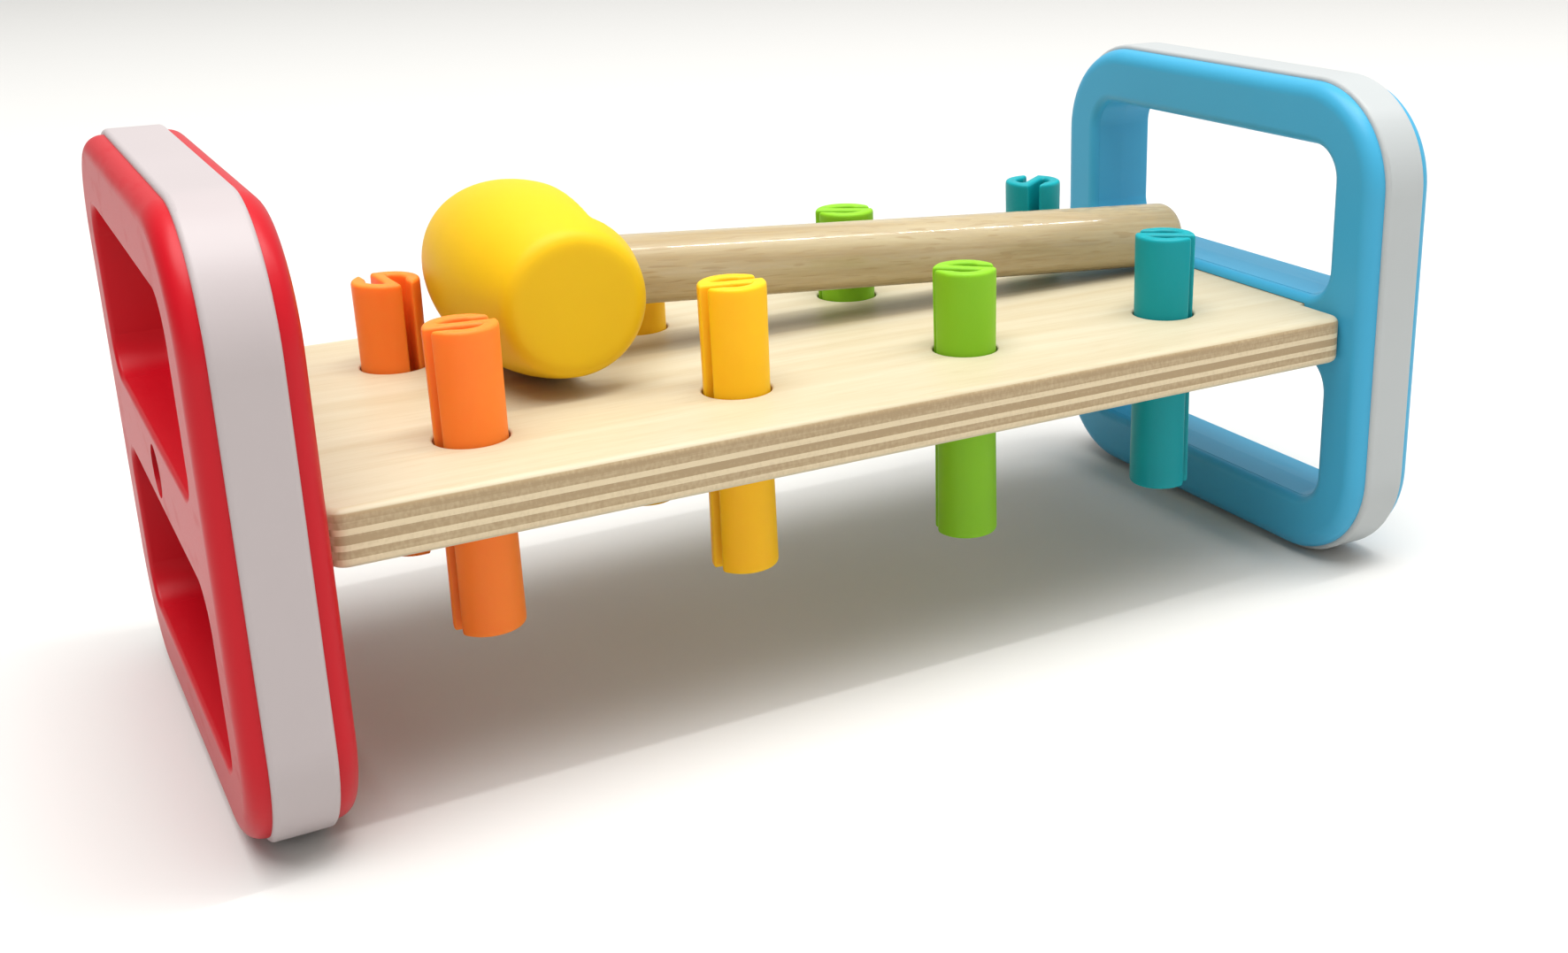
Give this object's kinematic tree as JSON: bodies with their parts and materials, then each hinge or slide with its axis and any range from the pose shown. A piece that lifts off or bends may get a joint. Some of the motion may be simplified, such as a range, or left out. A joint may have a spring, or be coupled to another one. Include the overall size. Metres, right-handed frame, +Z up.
{
  "type": "peg pounding bench",
  "caption": "Toddler's pounding bench: a plywood plank held between moulded end frames, springy pegs that slide through it from either side, and a barrel-headed mallet lying on top.",
  "frame": {"origin": "on the ground, below the middle of the plank", "axes": "+X along the plank from the red end frame to the blue one, +Y from the front row of pegs to the rear row, +Z up"},
  "size_m": [0.294, 0.135, 0.129],
  "materials": {
    "plywood": "clear satin varnish on birch plywood, with the plies showing on the edges",
    "red_plastic": "glossy moulded plastic",
    "blue_plastic": "glossy moulded plastic",
    "white_plastic": "milky satin plastic",
    "orange_plastic": "matt moulded plastic",
    "yellow_plastic": "matt moulded plastic",
    "green_plastic": "matt moulded plastic",
    "teal_plastic": "matt moulded plastic",
    "mallet_plastic": "soft matt plastic",
    "handle_wood": "clear varnish on turned hardwood",
    "screw_steel": "zinc-plated steel"
  },
  "bodies": {
    "bench": {"plank": "plywood", "red_outer_shell": "red_plastic", "red_inner_shell": "red_plastic", "red_rim": "white_plastic", "red_screw": "screw_steel", "blue_outer_shell": "blue_plastic", "blue_inner_shell": "blue_plastic", "blue_rim": "white_plastic", "blue_screw": "screw_steel"},
    "front_orange": {"orange_peg_front": "orange_plastic"},
    "front_yellow": {"yellow_peg_front": "yellow_plastic"},
    "front_green": {"green_peg_front": "green_plastic"},
    "front_teal": {"teal_peg_front": "teal_plastic"},
    "rear_orange": {"orange_peg_rear": "orange_plastic"},
    "rear_yellow": {"yellow_peg_rear": "yellow_plastic"},
    "rear_green": {"green_peg_rear": "green_plastic"},
    "rear_teal": {"teal_peg_rear": "teal_plastic"},
    "mallet": {"mallet_head": "mallet_plastic", "mallet_handle": "handle_wood"}
  },
  "joints": [
    {"name": "front_orange_slide", "type": "slide", "parent": "bench", "child": "front_orange", "axis": [0, 0, 1], "range_m": [-0.02432, 0.03068]},
    {"name": "front_yellow_slide", "type": "slide", "parent": "bench", "child": "front_yellow", "axis": [0, 0, 1], "range_m": [-0.02472, 0.03028]},
    {"name": "front_green_slide", "type": "slide", "parent": "bench", "child": "front_green", "axis": [0, 0, 1], "range_m": [-0.0201, 0.0349]},
    {"name": "front_teal_slide", "type": "slide", "parent": "bench", "child": "front_teal", "axis": [0, 0, 1], "range_m": [-0.02077, 0.03423]},
    {"name": "rear_orange_slide", "type": "slide", "parent": "bench", "child": "rear_orange", "axis": [0, 0, 1], "range_m": [-0.02077, 0.03423]},
    {"name": "rear_yellow_slide", "type": "slide", "parent": "bench", "child": "rear_yellow", "axis": [0, 0, 1], "range_m": [-0.0211, 0.0339]},
    {"name": "rear_green_slide", "type": "slide", "parent": "bench", "child": "rear_green", "axis": [0, 0, 1], "range_m": [-0.02338, 0.03162]},
    {"name": "rear_teal_slide", "type": "slide", "parent": "bench", "child": "rear_teal", "axis": [0, 0, 1], "range_m": [-0.02479, 0.03021]},
    {"name": "mallet_lift", "type": "slide", "parent": "bench", "child": "mallet", "axis": [0, 0, 1], "range_m": [0, 0.1]}
  ]
}
